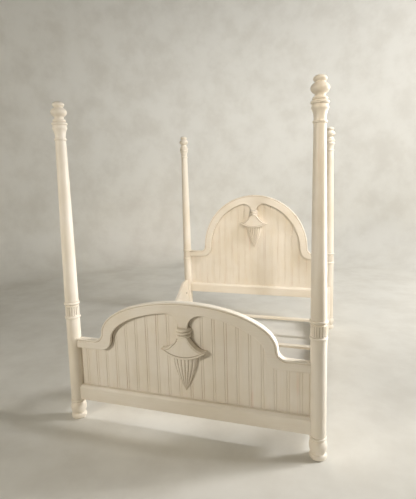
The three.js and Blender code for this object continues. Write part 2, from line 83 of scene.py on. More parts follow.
# Post turning, from the floor up.
POST_X, POST_Y, _ = centre_mm("head_right_finial")
FOOT_TOP = 11.0
SHAFT_R = 3.65
COLLAR_LOW = 58.0
COLLAR_HIGH = 65.7
COLLAR_R = 4.15
REED_R = 3.68
POST_JOINT = 66.5
UPPER_SHAFT_R = 3.6
SHAFT_TAPER = 0.9
NECK_RING = 152.6
CAP_RING = 160.5
POST_TOP = 161.3
BED_TOP = 171.8
REEDS = 18
REED_DEPTH = 0.34
TURNING_SIDES = 72
POST_CORE_R = 3.0
TENON_R = 1.5
TENON_LENGTH = 4.0
POST_DOWEL_R = 1.2
POST_DOWEL_HALF = 5.0
PIN_R = 1.0
PIN_LENGTH = 5.0
FIT_GAP = 0.15

# Boards. Their y is measured from the posts' axes, and their fronts face the foot end.
BOARD_HALF = 2.0
PANEL_FRONT = 0.6
PANEL_BACK = 1.9
PANEL_HALF_WIDTH = 61.2
PANEL_LAP = 2.0
PANEL_EASE = 0.15
REBATE_WALL = PANEL_FRONT - 0.02
CREST_REBATE = PANEL_LAP + 0.3
RAIL_REBATE = PANEL_LAP + 0.1
PLANKS = 19
PLANK_PITCH = 6.04
QUIRK_DEPTH = 0.24
NECK_HALF = 2.4
NECK_FLARE = 7.2
RAIL_CHAMFER_WIDTH = 1.0
RAIL_CHAMFER_DROP = 1.25
COPE_GAP = 0.08

FOOTBOARD = dict(
    name="footboard", y=-POST_Y, top=70.2, outer_half=46.8, shoulder_top=46.2, outer_fillet=4.5,
    inner_top=64.6, inner_half=41.2, shoulder_bottom=41.3, inner_fillet=6.0,
    rail_top=19.6, rail_bottom=11.5, pendant_top=57.4,
)
HEADBOARD = dict(
    name="headboard", y=POST_Y, top=116.8, outer_half=46.8, shoulder_top=65.4, outer_fillet=4.5,
    inner_top=110.1, inner_half=40.7, shoulder_bottom=60.3, inner_fillet=8.5,
    rail_top=34.4, rail_bottom=26.3, pendant_top=103.3,
)

# Pendant, with heights measured down from its top. The bands are stretched away from the panel,
# the bell's top is tucked behind the last band, and the drop's top behind the bell's rim.
BAND_COUNT = 3
BAND_PITCH = 1.6
BAND_R = 3.9
BAND_BULGE = 0.45
BAND_CREASE = 0.75
BAND_STRETCH = 1.3
BELL_TOP = BAND_COUNT * BAND_PITCH
BELL_TUCK = 0.25
BELL_NECK_HALF = 2.6
BELL_TIP_HALF = 12.0
BELL_EDGE_LIFT = 2.3
BELL_CROWN = 1.7
BELL_SLOPE = 0.55
FLANK_DROP = 6.5
RIM_TIP_DROP = 11.6
RIM_MIDDLE_DROP = 15.3
RIM_WIDTH = 0.95
RIM_STAND = 0.4
DROP_HALF = 7.1
DROP_DEPTH = 3.5
DROP_LENGTH = 18.4
DROP_RIBS = 7
DROP_TUCK = 0.35
DROP_WALL = 0.9
RIB_DEPTH = 0.75

# Side rails, ledgers, slats and rail hardware. A slat's or ledger's ends are eased over a short
# length to a face that is this share of its section.
RAIL_HALF = 1.2
RAIL_TOP = 23.0
BRACKET_TOP = 37.5
BRACKET_START = 44.0
BRACKET_SWEEP = 18.0
BRACKET_BROW = 7.5
BRACKET_END = 78.0
NUT_Y = 80.8
BOLT_Z = 25.5
POCKET_R = 1.2
POCKET_DEPTH = 1.9
NUT_R = 0.95
NUT_SLOT_HALF = 0.15
NUT_SLOT_DEPTH = 0.32
END_EASE = 0.2
END_SHRINK = np.array([0.86, 0.78])

# How "edge" values are worked out; values below 0 call for painted shade. Faces up to the small size,
# in square millimetres, keep them whole, and from the large size on they have none. Points this near a
# panel's face count as bent inwards, so that a carving's foot gets a painted shadow. A carving's skirt
# has a row of points this share of the way down to its foot, so that the shadow stays low.
SMALL_FACE = 0.8
LARGE_FACE = 3.0
AT_FACE = 0.03
FOOT_SHADE_BEND = -0.4
SKIRT_ROW = 0.8


# ------------------------------------------------------------------ curves


def arc(centre_a, centre_b, radius_a, radius_b, start, end, steps):
    """Points on an ellipse arc, angles in degrees, both ends included."""
    angles = np.radians(np.linspace(start, end, steps + 1))
    return np.stack([centre_a + radius_a * np.cos(angles), centre_b + radius_b * np.sin(angles)], 1)


def line(start, end, steps):
    """Evenly spaced points from start to end, both included."""
    t = np.linspace(0, 1, steps + 1)[:, None]
    return np.array(start) * (1 - t) + np.array(end) * t


def bezier(a, b, c, d, steps):
    """A cubic curve from a to d, drawn towards b and c."""
    t = np.linspace(0, 1, steps + 1)[:, None]
    a, b, c, d = (np.array(p, float) for p in (a, b, c, d))
    return a * (1 - t) ** 3 + 3 * b * t * (1 - t) ** 2 + 3 * c * t ** 2 * (1 - t) + d * t ** 3


def rounded(points, radius, steps=4):
    """An open line with each corner eased by a small curve of up to that radius."""
    points = [np.array(p, float) for p in points]
    result = [points[0]]
    for before, corner, after in zip(points, points[1:], points[2:]):
        back, on = before - corner, after - corner
        lengths = np.linalg.norm(back), np.linalg.norm(on)
        if min(lengths) < 1e-9:
            continue
        turn = math.acos(np.clip(-back @ on / (lengths[0] * lengths[1]), -1, 1))
        if turn < 0.15:
            result.append(corner)
            continue
        reach = min(radius, 0.45 * lengths[0], 0.45 * lengths[1])
        start = corner + back / lengths[0] * reach
        end = corner + on / lengths[1] * reach
        for t in np.linspace(0, 1, steps):
            result.append(start * (1 - t) ** 2 + 2 * corner * t * (1 - t) + end * t ** 2)
    result.append(points[-1])
    return np.array(result)


def offset(points, distance):
    """An open line moved sideways, to the left of its direction."""
    direction = np.gradient(points, axis=0)
    direction /= np.linalg.norm(direction, axis=1)[:, None]
    return points + distance * np.stack([-direction[:, 1], direction[:, 0]], 1)


def mirrored(points):
    """The same line on the other side of x = 0, in the reverse order."""
    return points[::-1] * np.array([-1, 1])


def smooth_step(value, low, high):
    """Eases from 0 to 1 as value goes from low to high."""
    t = np.clip((value - low) / (high - low), 0, 1)
    return t * t * (3 - 2 * t)


# ------------------------------------------------------------------ meshes


class Shape:
    """Vertices in millimetres, and faces, on the way to being a Blender mesh."""

    def __init__(self, vertices, faces):
        self.vertices = np.array(vertices, float).reshape(-1, 3)
        self.faces = faces

    def moved(self, place):
        return Shape(self.vertices + np.array(place, float), self.faces)

    def joined(self, other):
        start = len(self.vertices)
        faces = self.faces + [[i + start for i in face] for face in other.faces]
        return Shape(np.concatenate([self.vertices, other.vertices]), faces)

    def to_mesh(self, name):
        """A mesh in metres, with its faces turned outwards and doubled points joined."""
        work = bmesh.new()
        points = [work.verts.new(v * MM) for v in self.vertices]
        for face in self.faces:
            work.faces.new([points[i] for i in face])
        bmesh.ops.remove_doubles(work, verts=work.verts, dist=2e-6)
        bmesh.ops.dissolve_degenerate(work, edges=work.edges, dist=1e-7)
        bmesh.ops.recalc_face_normals(work, faces=work.faces)
        mesh = bpy.data.meshes.new(name)
        work.to_mesh(mesh)
        work.free()
        return mesh


def loft(loops):
    """Closed loops of points, all with one count, joined into a skin and filled at both ends."""
    count = len(loops[0])
    faces = []
    for level in range(len(loops) - 1):
        low, high = level * count, (level + 1) * count
        for i in range(count):
            after = (i + 1) % count
            faces.append([low + i, low + after, high + after, high + i])
    faces.append(list(range(count))[::-1])
    faces.append([(len(loops) - 1) * count + i for i in range(count)])
    return Shape(np.concatenate(loops), faces)


def lathe(profile, sides, radius_change=None):
    """A turning about Z from a profile of (radius, height) that starts and ends on the axis."""
    angles = np.arange(sides) * 2 * math.pi / sides
    vertices, faces, rings = [], [], []
    for radius, height in profile:
        start = len(vertices)
        if radius < 1e-6:
            vertices.append((0, 0, height))
            rings.append([start] * sides)
            continue
        change = radius_change(angles, height) if radius_change else np.zeros(sides)
        around = np.stack([np.cos(angles), np.sin(angles)], 1) * (radius + change)[:, None]
        vertices.extend((x, y, height) for x, y in around)
        rings.append(list(range(start, start + sides)))
    for low, high in zip(rings, rings[1:]):
        for i in range(sides):
            after = (i + 1) % sides
            corners = dict.fromkeys([low[i], low[after], high[after], high[i]])
            if len(corners) > 2:
                faces.append(list(corners))
    return Shape(vertices, faces)


def relief(rows, floor_y):
    """A carving standing on a flat back: rows of points, with a skirt down to y = floor_y.

    The skirt has one more row of points close to the floor, so that the painted shadow can stay low on
    it.
    """
    rows = np.array(rows)
    height, width = rows.shape[:2]
    index = np.arange(height * width).reshape(height, width)
    faces = [
        [index[r, c], index[r, c + 1], index[r + 1, c + 1], index[r + 1, c]]
        for r in range(height - 1) for c in range(width - 1)
    ]
    rim = [*index[0, :], *index[1:, -1], *index[-1, -2::-1], *index[-2:0:-1, 0]]
    front = rows.reshape(-1, 3)
    low, back = front[rim].copy(), front[rim].copy()
    low[:, 1] += (floor_y - low[:, 1]) * SKIRT_ROW
    back[:, 1] = floor_y
    first_low = len(front)
    first_back = first_low + len(rim)
    for i, corner in enumerate(rim):
        after = (i + 1) % len(rim)
        faces.append([corner, first_low + i, first_low + after, rim[after]])
        faces.append([first_low + i, first_back + i, first_back + after, first_low + after])
    faces.append([first_back + i for i in range(len(rim))])
    return Shape(np.concatenate([front, low, back]), faces)


def read(items, field, width=1, kind=float):
    """One field of all of a mesh's points, edges, corners or faces."""
    values = np.empty(len(items) * width, kind)
    items.foreach_get(field, values)
    return values if width == 1 else values.reshape(-1, width)


def mark_edges(mesh, shadowed_at_panel):
    """Stores in "edge" how much each point stands out (above 0), for wear, or lies in a corner (below
    0), for painted shade.

    A point's value is the mean slope of its edges against its normal. Where a piece meets a panel's
    face, its foot counts as a corner, so that a painted shadow darkens it. A large face would smear its
    corners' values right across itself, so there they fade to nothing.
    """
    places = read(mesh.vertices, "co", 3)
    normals = read(mesh.vertex_normals, "vector", 3)
    first, second = read(mesh.edges, "vertices", 2, int).T
    along = places[second] - places[first]
    along /= np.maximum(np.linalg.norm(along, axis=1), 1e-12)[:, None]
    total, touching = np.zeros(len(places)), np.zeros(len(places))
    np.add.at(total, first, -(normals[first] * along).sum(1))
    np.add.at(total, second, (normals[second] * along).sum(1))
    np.add.at(touching, first, 1)
    np.add.at(touching, second, 1)
    bend = total / np.maximum(touching, 1)
    # Painted shadow: a carving's or crest's foot on the panel counts as a deep corner, so it is
    # darkened.
    if shadowed_at_panel:
        from_face = np.abs(np.abs(places[:, 1] / MM - PANEL_FRONT) - POST_Y)
        bend[from_face < AT_FACE] = FOOT_SHADE_BEND
    corner_points = read(mesh.loops, "vertex_index", 1, int)
    areas = read(mesh.polygons, "area")
    corner_areas = np.repeat(areas, read(mesh.polygons, "loop_total", 1, int))
    small = 1 - smooth_step(corner_areas / MM ** 2, SMALL_FACE, LARGE_FACE)
    attribute = mesh.attributes.new("edge", "FLOAT", "CORNER")
    attribute.data.foreach_set("value", (bend[corner_points] * small).astype(np.float32))


def add_object(name, data):
    """A new object in the scene, holding a mesh, a lamp or a camera."""
    thing = bpy.data.objects.new(name, data)
    bpy.context.scene.collection.objects.link(thing)
    return thing


def add_piece(
    node, shape, material, cutters=(), sharp_degrees=40, shadowed_at_panel=False,
):
    """Builds the fine piece that stands for a CAD node, and hangs it on that node's body."""
    piece = add_object(f"{node}_fine", shape.to_mesh(f"{node}_mesh"))
    for cutter in cutters:
        carve(piece, cutter)
    mesh = piece.data
    mesh.shade_smooth()
    mesh.set_sharp_from_angle(angle=math.radians(sharp_degrees))
    mark_edges(mesh, shadowed_at_panel)
    mesh.materials.clear()
    mesh.materials.append(material)
    weighted = piece.modifiers.new("flat faces stay flat", "WEIGHTED_NORMAL")
    weighted.keep_sharp = True
    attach(piece, frame["nodes"][node]["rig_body"])
    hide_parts(node)


def carve(piece, cutter):
    """Cuts a shape out of a piece, and keeps the result as the piece's own mesh."""
    tool = add_object("cutter", cutter.to_mesh("cutter_mesh"))
    cut = piece.modifiers.new("cut", "BOOLEAN")
    cut.operation = "DIFFERENCE"
    cut.solver = "EXACT"
    cut.object = tool
    seen = piece.evaluated_get(bpy.context.evaluated_depsgraph_get())
    piece.data = bpy.data.meshes.new_from_object(seen)
    piece.modifiers.clear()
    bpy.data.objects.remove(tool)


# ------------------------------------------------------------------- posts


def bead(base_r, peak_r, height, half, steps=10):
    """A half round moulding from its lower to its upper edge."""
    return arc(base_r, height, peak_r - base_r, half, -90, 90, steps)


def foot_profile():
    """A bun foot: a disc, a tall bun and a ring, with a tenon for the lower post."""
    tenon_top = FOOT_TOP + TENON_LENGTH
    disc = arc(3.25, 1.45, 0.85, 1.35, -75, 78, 10)
    bun = arc(2.75, 6.3, 1.44, 3.2, -58, 72, 14)
    ring = bead(3.4, 3.98, 10.2, 0.62)
    return rounded([
        (0, 0), (3.3, 0),
        *disc, (3.35, 2.95),
        *bun, (3.1, 9.45),
        *ring, (3.3, FOOT_TOP),
        (TENON_R, FOOT_TOP), (TENON_R, tenon_top), (0, tenon_top),
    ], radius=0.12)


def lower_post_profile():
    """A plain shaft with a reeded collar between two rings, bored at both ends."""
    tenon_hole = TENON_R + FIT_GAP
    tenon_hole_top = FOOT_TOP + TENON_LENGTH + FIT_GAP
    dowel_hole = POST_DOWEL_R + FIT_GAP
    dowel_hole_bottom = POST_JOINT - POST_DOWEL_HALF - FIT_GAP
    shaft = line((SHAFT_R, FOOT_TOP + 0.5), (SHAFT_R, COLLAR_LOW - 1.0), 12)
    low_ring = bead(3.6, COLLAR_R, COLLAR_LOW, 0.72)
    reeded = line((REED_R, COLLAR_LOW + 0.95), (REED_R, COLLAR_HIGH - 1.5), 16)
    high_ring = bead(3.55, COLLAR_R, COLLAR_HIGH, 0.75)
    return rounded([
        (0, tenon_hole_top), (tenon_hole, tenon_hole_top), (tenon_hole, FOOT_TOP),
        (SHAFT_R - 0.15, FOOT_TOP),
        *shaft,
        *low_ring,
        *reeded, (3.25, COLLAR_HIGH - 1.35), (3.25, COLLAR_HIGH - 1.0),
        *high_ring, (3.45, POST_JOINT),
        (dowel_hole, POST_JOINT), (dowel_hole, dowel_hole_bottom), (0, dowel_hole_bottom),
    ], radius=0.1)


def reeding(angles, height):
    """The change of radius that works the band between the collar's rings into upright reeds."""
    shown = smooth_step(height, COLLAR_LOW + 0.9, COLLAR_LOW + 1.5)
    shown *= 1 - smooth_step(height, COLLAR_HIGH - 2.1, COLLAR_HIGH - 1.5)
    valley = (1 - np.abs(np.sin(REEDS * angles / 2))) ** 2.2
    return -REED_DEPTH * shown * valley


LOWER_POST_OUTSIDE = np.array([point for point in lower_post_profile() if point[0] > POST_CORE_R])


def post_radius(height):
    """The outside of the turned post at a height, for the boards' ends to be coped to."""
    if height > POST_JOINT:
        return shaft_radius(height)
    return float(np.interp(height, LOWER_POST_OUTSIDE[:, 1], LOWER_POST_OUTSIDE[:, 0]))


def shaft_radius(height):
    """The upper post tapers, a little faster towards its top."""
    along = (height - POST_JOINT) / (NECK_RING - POST_JOINT)
    return UPPER_SHAFT_R - SHAFT_TAPER * max(along, 0) ** 1.25


def upper_post_profile():
    """A tapering shaft with a ring, a flared bell and a cap ring, bored at both ends."""
    dowel_hole = POST_DOWEL_R + FIT_GAP
    dowel_hole_top = POST_JOINT + POST_DOWEL_HALF + FIT_GAP
    pin_hole = PIN_R + FIT_GAP
    pin_hole_bottom = POST_TOP - PIN_LENGTH - FIT_GAP
    shaft = [(shaft_radius(z), z) for z in np.linspace(POST_JOINT + 0.1, NECK_RING - 0.8, 24)]
    neck_ring = bead(2.66, 3.14, NECK_RING, 0.62)
    flare = arc(4.9, 153.6, 2.26, 5.2, 180, 123, 14)
    hollow = arc(3.1, 158.9, 0.45, 0.7, 0, 40, 3)
    cap_ring = bead(3.42, 4.0, CAP_RING, 0.68)
    return rounded([
        (0, dowel_hole_top), (dowel_hole, dowel_hole_top), (dowel_hole, POST_JOINT),
        (3.5, POST_JOINT),
        *shaft,
        *neck_ring,
        *flare, (3.72, 158.15), (3.72, 158.6),
        *hollow,
        *cap_ring, (3.2, POST_TOP),
        (pin_hole, POST_TOP), (pin_hole, pin_hole_bottom), (0, pin_hole_bottom),
    ], radius=0.1)


def finial_profile():
    """A squat ball under a smaller one, on a pin."""
    pin_bottom = POST_TOP - PIN_LENGTH
    ring = bead(2.95, 3.28, 162.05, 0.5)
    neck = arc(3.3, 163.5, 1.05, 0.85, 250, 180, 8)
    ball = arc(0, 166.3, 4.02, 2.72, -53, 56, 22)
    crease = arc(3.0, 168.85, 0.8, 0.45, 200, 145, 3)
    button = arc(0, 170.1, 2.96, 1.7, -40, 84, 20)
    return rounded([
        (0, pin_bottom), (PIN_R, pin_bottom), (PIN_R, POST_TOP),
        (3.05, POST_TOP),
        *ring,
        *neck,
        *ball,
        *crease,
        *button, (0, BED_TOP),
    ], radius=0.14)


# ------------------------------------------------------------------ boards


def outer_edge(board, inset):
    """The crest's outer edge from left to right, drawn in by inset, without its ends."""
    base = board["shoulder_top"] + board["outer_fillet"]
    fillet_x = board["outer_half"] + board["outer_fillet"]
    fillet_r = board["outer_fillet"] + inset
    right = arc(fillet_x, base, fillet_r, fillet_r, 180, 270, 14)
    over = arc(0, base, board["outer_half"] - inset, board["top"] - base - inset, 180, 0, 120)
    return np.concatenate([mirrored(right), over[1:-1], right])


def inner_arch(board, grow):
    """The arch inside the crest, cut back by grow: its base's height, half width and rise, and the
    place and radius of the fillet at its right end."""
    base = board["shoulder_bottom"] + board["inner_fillet"]
    half = board["inner_half"] + grow
    rise = board["inner_top"] - base + grow
    fillet_x = board["inner_half"] + board["inner_fillet"]
    fillet_r = board["inner_fillet"] - grow
    return base, half, rise, fillet_x, fillet_r


def inner_edge(board, grow, necked):
    """The crest's inner edge from right to left, cut back by grow, with or without its neck."""
    base, half, rise, fillet_x, fillet_r = inner_arch(board, grow)
    neck_x = NECK_HALF + NECK_FLARE
    flare_angle = math.degrees(math.acos(neck_x / half))
    side = arc(fillet_x, base, fillet_r, fillet_r, 270, 180, 14)
    over = arc(0, base, half, rise, 0, flare_angle, 50)
    if necked:
        neck_end = board["pendant_top"] + FIT_GAP
        flare = arc(neck_x, neck_end, NECK_FLARE + grow, over[-1][1] - neck_end, 90, 180, 20)
        middle = line(flare[-1], (0, neck_end), 4)
    else:
        flare = arc(0, base, half, rise, flare_angle, 84, 20)
        middle = arc(0, base, half, rise, 84, 90, 4)
    right = np.concatenate([side, over[1:], flare[1:], middle[1:]])
    return np.concatenate([right, mirrored(right)[1:]])


def coped_end(y, top, bottom, side, steps=10):
    """The end of a board against a post, as (x, z) points from top to bottom."""
    heights = np.linspace(top, bottom, steps + 1)[1:-1]
    return np.array([(side * coped_x(y, z), z) for z in heights])


def coped_x(y, z):
    """Where a board ends against its post's round face, with a small gap."""
    return POST_X - math.sqrt((post_radius(z) + COPE_GAP) ** 2 - y ** 2)


# Each row is a loop round the crest, from its back to its front: y and inset of the outer
# edge, then y and cut back of the inner edge, and whether that edge runs round the neck. Behind,
# the inner edge is cut back into a rebate for the panel. In front, the outer edge has a bead, with
# a quirk between it and the flat of the board.
CREST_LOOPS = [
    (2.00, 0.60, 2.00, 2.45, False),
    (2.00, 0.40, 2.00, 2.32, False),
    (1.90, 0.12, 1.95, CREST_REBATE, False),
    (1.62, 0.00, 1.20, CREST_REBATE, False),
    (0.80, 0.00, REBATE_WALL, CREST_REBATE, False),
    (0.20, 0.00, REBATE_WALL, 0.00, True),
    (-0.40, 0.00, -0.60, 0.00, True),
    (-1.10, 0.00, -1.15, 0.00, True),
    (-1.46, 0.00, -1.55, 0.00, True),
    (-1.74, 0.07, -1.68, 0.02, True),
    (-1.92, 0.22, -1.80, 0.06, True),
    (-1.98, 0.42, -1.88, 0.12, True),
    (-1.92, 0.62, -1.94, 0.20, True),
    (-1.84, 0.78, -1.98, 0.30, True),
    (-1.72, 0.88, -2.00, 0.42, True),
    (-1.70, 1.00, -2.00, 0.50, True),
    (-1.76, 1.14, -2.00, 0.56, True),
    (-1.90, 1.24, -2.00, 0.62, True),
    (-1.97, 1.40, -2.00, 0.68, True),
    (-2.00, 1.56, -2.00, 0.74, True),
    (-1.98, 1.74, -2.00, 0.80, True),
    (-1.95, 1.92, -2.00, 0.88, True),
]


def crest_loop(board, outer_y, inset, inner_y, grow, necked):
    """One loop: over the outer edge, down the right end, back along the inner edge, up the left end."""
    outer = outer_edge(board, inset)
    inner = inner_edge(board, grow, necked)
    top, bottom = board["shoulder_top"] - inset, board["shoulder_bottom"] + grow
    outer = np.concatenate([
        [(-coped_x(outer_y, top), top)], outer, [(coped_x(outer_y, top), top)],
    ])
    inner = np.concatenate([
        [(coped_x(inner_y, bottom), bottom)], inner, [(-coped_x(inner_y, bottom), bottom)],
    ])
    right = coped_end(outer_y, top, bottom, 1)
    left = coped_end(outer_y, top, bottom, -1)[::-1]
    share = np.linspace(0, 1, len(right) + 2)[1:-1]
    parts = [
        np.insert(outer, 1, outer_y, axis=1),
        np.insert(right, 1, outer_y + (inner_y - outer_y) * share, axis=1),
        np.insert(inner, 1, inner_y, axis=1),
        np.insert(left, 1, inner_y + (outer_y - inner_y) * share, axis=1),
    ]
    return np.concatenate(parts)


def crest_shape(board):
    """A board's arched frame, with its shoulders and the neck that the pendant hangs from."""
    return loft([crest_loop(board, *row) for row in CREST_LOOPS])


def panel_top(board, x):
    """Height of the beaded panel's hidden top edge above a point along it."""
    x = abs(x)
    base, half, rise, fillet_x, fillet_r = inner_arch(board, PANEL_LAP)
    if x < half:
        return base + rise * math.sqrt(1 - (x / half) ** 2)
    if x < fillet_x:
        return base - math.sqrt(max(fillet_r ** 2 - (fillet_x - x) ** 2, 0))
    return board["shoulder_bottom"] + PANEL_LAP


# Across half a bead and its quirk: distance from the bead's middle, and share of the full depth.
HALF_BEAD = [
    (0.26, 0.15), (0.44, 0.42), (0.53, 0.82), (0.60, 1.0), (0.67, 0.7), (0.73, 0.1), (0.8, 0.0),
]
WHOLE_BEAD = [*[(-away, depth) for away, depth in reversed(HALF_BEAD)], (0.0, 0.05), *HALF_BEAD]


def panel_section():
    """The front of the beadboard as (x, depth), with a plank between each pair of beads."""
    section = []
    for number in range(PLANKS + 1):
        middle = (number - PLANKS / 2) * PLANK_PITCH
        for away, depth in WHOLE_BEAD:
            section.append((middle + away, depth * QUIRK_DEPTH))
        section.append((middle + PLANK_PITCH / 2, 0.0))
    clear_of_ends = PANEL_HALF_WIDTH - PANEL_EASE - 0.05
    return [
        (-PANEL_HALF_WIDTH, PANEL_EASE), (-PANEL_HALF_WIDTH + PANEL_EASE, 0),
        *[(x, depth) for x, depth in section if abs(x) < clear_of_ends],
        (PANEL_HALF_WIDTH - PANEL_EASE, 0), (PANEL_HALF_WIDTH, PANEL_EASE),
    ]


def panel_shape(board):
    """The beadboard, from inside the bottom rail's rebate up to inside the crest's."""
    bottom = board["rail_top"] - PANEL_LAP
    section = panel_section()
    # The arch's ends drop steeply, so the section gets more points there.
    arch_half = board["inner_half"] + PANEL_LAP
    steep = [arch_half * math.sin(math.radians(angle)) for angle in range(60, 91, 3)]
    for x in [sign * value for value in steep for sign in (-1, 1)]:
        depth = np.interp(x, [point[0] for point in section], [point[1] for point in section])
        section.append((x, float(depth)))
    section.sort()
    rows = []
    for share in np.linspace(0, 1, 15):
        rows.append([
            (x, PANEL_FRONT + depth, bottom + share * (panel_top(board, x) - bottom))
            for x, depth in section
        ])
    return relief(rows, PANEL_BACK)


def bottom_rail_shape(board):
    """A rail with a worn chamfer along its front top edge, rebated for the panel."""
    top, bottom = board["rail_top"], board["rail_bottom"]
    rebate_floor = top - RAIL_REBATE
    section = rounded([
        (0, bottom), (BOARD_HALF, bottom),
        (BOARD_HALF, rebate_floor), (REBATE_WALL, rebate_floor), (REBATE_WALL, top),
        (-BOARD_HALF + RAIL_CHAMFER_WIDTH, top), (-BOARD_HALF, top - RAIL_CHAMFER_DROP),
        (-BOARD_HALF, bottom), (0, bottom),
    ], radius=0.28, steps=5)[:-1]
    section = refined(section, spacing=1.2)
    loops = []
    for share in np.linspace(-1, 1, 41):
        loops.append(np.array([(share * coped_x(y, z), y, z) for y, z in section]))
    return loft(loops)


def refined(points, spacing):
    """A closed line with points added so that no gap is longer than spacing."""
    result = []
    for start, end in zip(points, np.roll(points, -1, axis=0)):
        steps = max(1, math.ceil(np.linalg.norm(end - start) / spacing))
        result.extend(line(start, end, steps)[:-1])
    return np.array(result)


# ---------------------------------------------------------------- pendants


def bands_shape(top):
    """Three flattened half rings stacked like a turned neck."""
    profile = []
    for band in range(BAND_COUNT):
        high = top - band * BAND_PITCH
        low = high - BAND_PITCH
        bulge = arc(BAND_R - BAND_BULGE, (high + low) / 2, BAND_BULGE, 0.66, 88, -88, 12)
        profile.extend([(BAND_R - BAND_CREASE, high), *bulge, (BAND_R - BAND_CREASE, low)])
    angles = np.radians(np.linspace(180, 360, 41))
    rows = [
        [(r * math.cos(a), PANEL_FRONT + BAND_STRETCH * r * math.sin(a), z) for a in angles]
        for r, z in profile
    ]
    return relief(rows, PANEL_FRONT)


def flank_height(x):
    """Height of the bell's upper edge, down from the pendant's top, at a distance from its middle."""
    share = np.clip((abs(x) - BELL_NECK_HALF) / (BELL_TIP_HALF - BELL_NECK_HALF), 0, 1)
    return BELL_TOP - BELL_TUCK + (FLANK_DROP + BELL_TUCK) * (1 - (1 - share) ** 2.2)


def rim_height(x):
    """Height of the bell's lower edge, down from the pendant's top, at a distance from its middle."""
    share = abs(x) / BELL_TIP_HALF
    return RIM_MIDDLE_DROP - (RIM_MIDDLE_DROP - RIM_TIP_DROP) * share ** 2


def ridge(distance, middle, width, power=2):
    """Rises smoothly to 1 at the middle distance and falls back to 0 on both sides of it."""
    return math.exp(-((distance - middle) / width) ** power)


def bell_lift(x, down):
    """How far the bell stands off the panel at a point of it.

    Its face is crowned across and slopes out towards the rim. A fillet and a groove follow the
    upper edge outside the neck, a raised band and a quirk follow the rim, and all edges are eased.
    """
    high, low = flank_height(x), rim_height(x)
    slope = math.atan2(abs(flank_height(abs(x) + 0.1) - high), 0.1)
    from_flank = (down - high) * math.cos(slope)
    from_rim = low - down
    crown = BELL_CROWN * (1 - (abs(x) / BELL_TIP_HALF) ** 2) ** 0.5
    lift = BELL_EDGE_LIFT + crown + BELL_SLOPE * (down - BELL_TOP) / (RIM_MIDDLE_DROP - BELL_TOP)

    beyond_neck = smooth_step(abs(x), BELL_NECK_HALF - 0.9, BELL_NECK_HALF + 0.6)
    fillet = 0.25 * ridge(from_flank, 0.34, 0.3, power=4)
    groove = 0.4 * ridge(from_flank, 0.82, 0.17)
    clear_of_rim = smooth_step(from_rim, RIM_WIDTH - 0.1, RIM_WIDTH + 0.8)
    lift += beyond_neck * (fillet - groove * clear_of_rim)

    band = RIM_STAND * smooth_step(RIM_WIDTH - from_rim, 0, 0.16)
    quirk = 0.26 * ridge(from_rim, RIM_WIDTH + 0.08, 0.13)
    lift += band - quirk * smooth_step(abs(x), BELL_TIP_HALF + 0.5, BELL_TIP_HALF - 3)

    ease_width = 0.3
    edge = min(max(from_flank, 0) + 0.02, max(from_rim, 0) + 0.02, ease_width) / ease_width
    eased_edge = 0.22 * (1 - math.sqrt(1 - (1 - edge) ** 2))
    eased_tip = 0.25 * (1 - smooth_step(BELL_TIP_HALF - abs(x), 0, 0.35))
    return lift - eased_edge - eased_tip


def bell_shape(top):
    """A flared bell between its hollow upper edge and its rim, with more rows near both."""
    across = np.linspace(-1, 1, 181) * BELL_TIP_HALF
    rows = []
    for share in [0.5 - 0.5 * math.cos(math.pi * s) for s in np.linspace(0, 1, 61)]:
        row = []
        for x in across:
            down = flank_height(x) * (1 - share) + rim_height(x) * share
            row.append((x, PANEL_FRONT - bell_lift(x, down), top - down))
        rows.append(row)
    return relief(rows, PANEL_FRONT)


def drop_shape(top):
    """A pointed drop whose ribs run together at its tip."""
    rim_z = top - RIM_MIDDLE_DROP + DROP_TUCK
    rows = []
    for share in np.linspace(0, 1, 71):
        width = (1 - 0.995 * share ** 1.6) ** 0.95
        lift = DROP_DEPTH * width ** 0.8 * (1 - 0.06 * share) + 0.12
        row = []
        for u in np.linspace(-1, 1, DROP_RIBS * 14 + 1):
            swell = (1 - abs(u) ** 2.6) ** 0.6
            rib = abs(math.sin((u + 1) * DROP_RIBS * math.pi / 2)) ** 0.55
            wall = DROP_WALL * min(width * 1.4, 1)
            stand = wall + (lift - wall) * swell
            stand -= (1 - rib) * RIB_DEPTH * min(width * 1.8, 1)
            edge_rise = (RIM_MIDDLE_DROP - RIM_TIP_DROP) * (DROP_HALF * u / BELL_TIP_HALF) ** 2
            z = rim_z + edge_rise * (1 - share) - (DROP_LENGTH + 0.2) * share
            row.append((DROP_HALF * width * u, PANEL_FRONT - max(stand, 0.03), z))
        rows.append(row)
    return relief(rows, PANEL_FRONT)


# ------------------------------------------------- rails, slats, hardware


def side_rail_shape(side):
    """A rail whose top sweeps up into a scroll bracket at each end, between the posts."""
    bottom = box_mm("left_side_rail")[0][2]
    scroll = bezier(
        (BRACKET_END, BRACKET_TOP), (BRACKET_END - BRACKET_BROW, BRACKET_TOP),
        (BRACKET_START + BRACKET_SWEEP, RAIL_TOP), (BRACKET_START, RAIL_TOP), 30,
    )
    half_top = np.concatenate([
        line((POST_Y - SHAFT_R, BRACKET_TOP), scroll[0], 3),
        scroll[1:],
        line(scroll[-1], (0, RAIL_TOP), 12)[1:],
    ])
    top_line = np.concatenate([half_top, mirrored(half_top)[1:]])
    eased_side = [(RAIL_HALF - 0.3, 0), (RAIL_HALF - 0.09, 0.1), (RAIL_HALF, 0.34), (RAIL_HALF, 0.5)]
    loops = []
    for x, inset in [*[(-x, inset) for x, inset in reversed(eased_side)], (0, 0), *eased_side]:
        end = POST_Y - math.sqrt((SHAFT_R + COPE_GAP) ** 2 - x ** 2)
        upper = offset(top_line, inset)
        upper[0, 0], upper[-1, 0] = end, -end
        lower = line((-end, bottom + inset), (end, bottom + inset), 30)
        right = line(lower[-1], upper[0], 8)[1:-1]
        left = line(upper[-1], lower[0], 8)[1:-1]
        loop = np.concatenate([upper, left, lower, right])
        loops.append(np.insert(loop, 0, x, axis=1))
    return loft(loops).moved((side * POST_X, 0, 0))


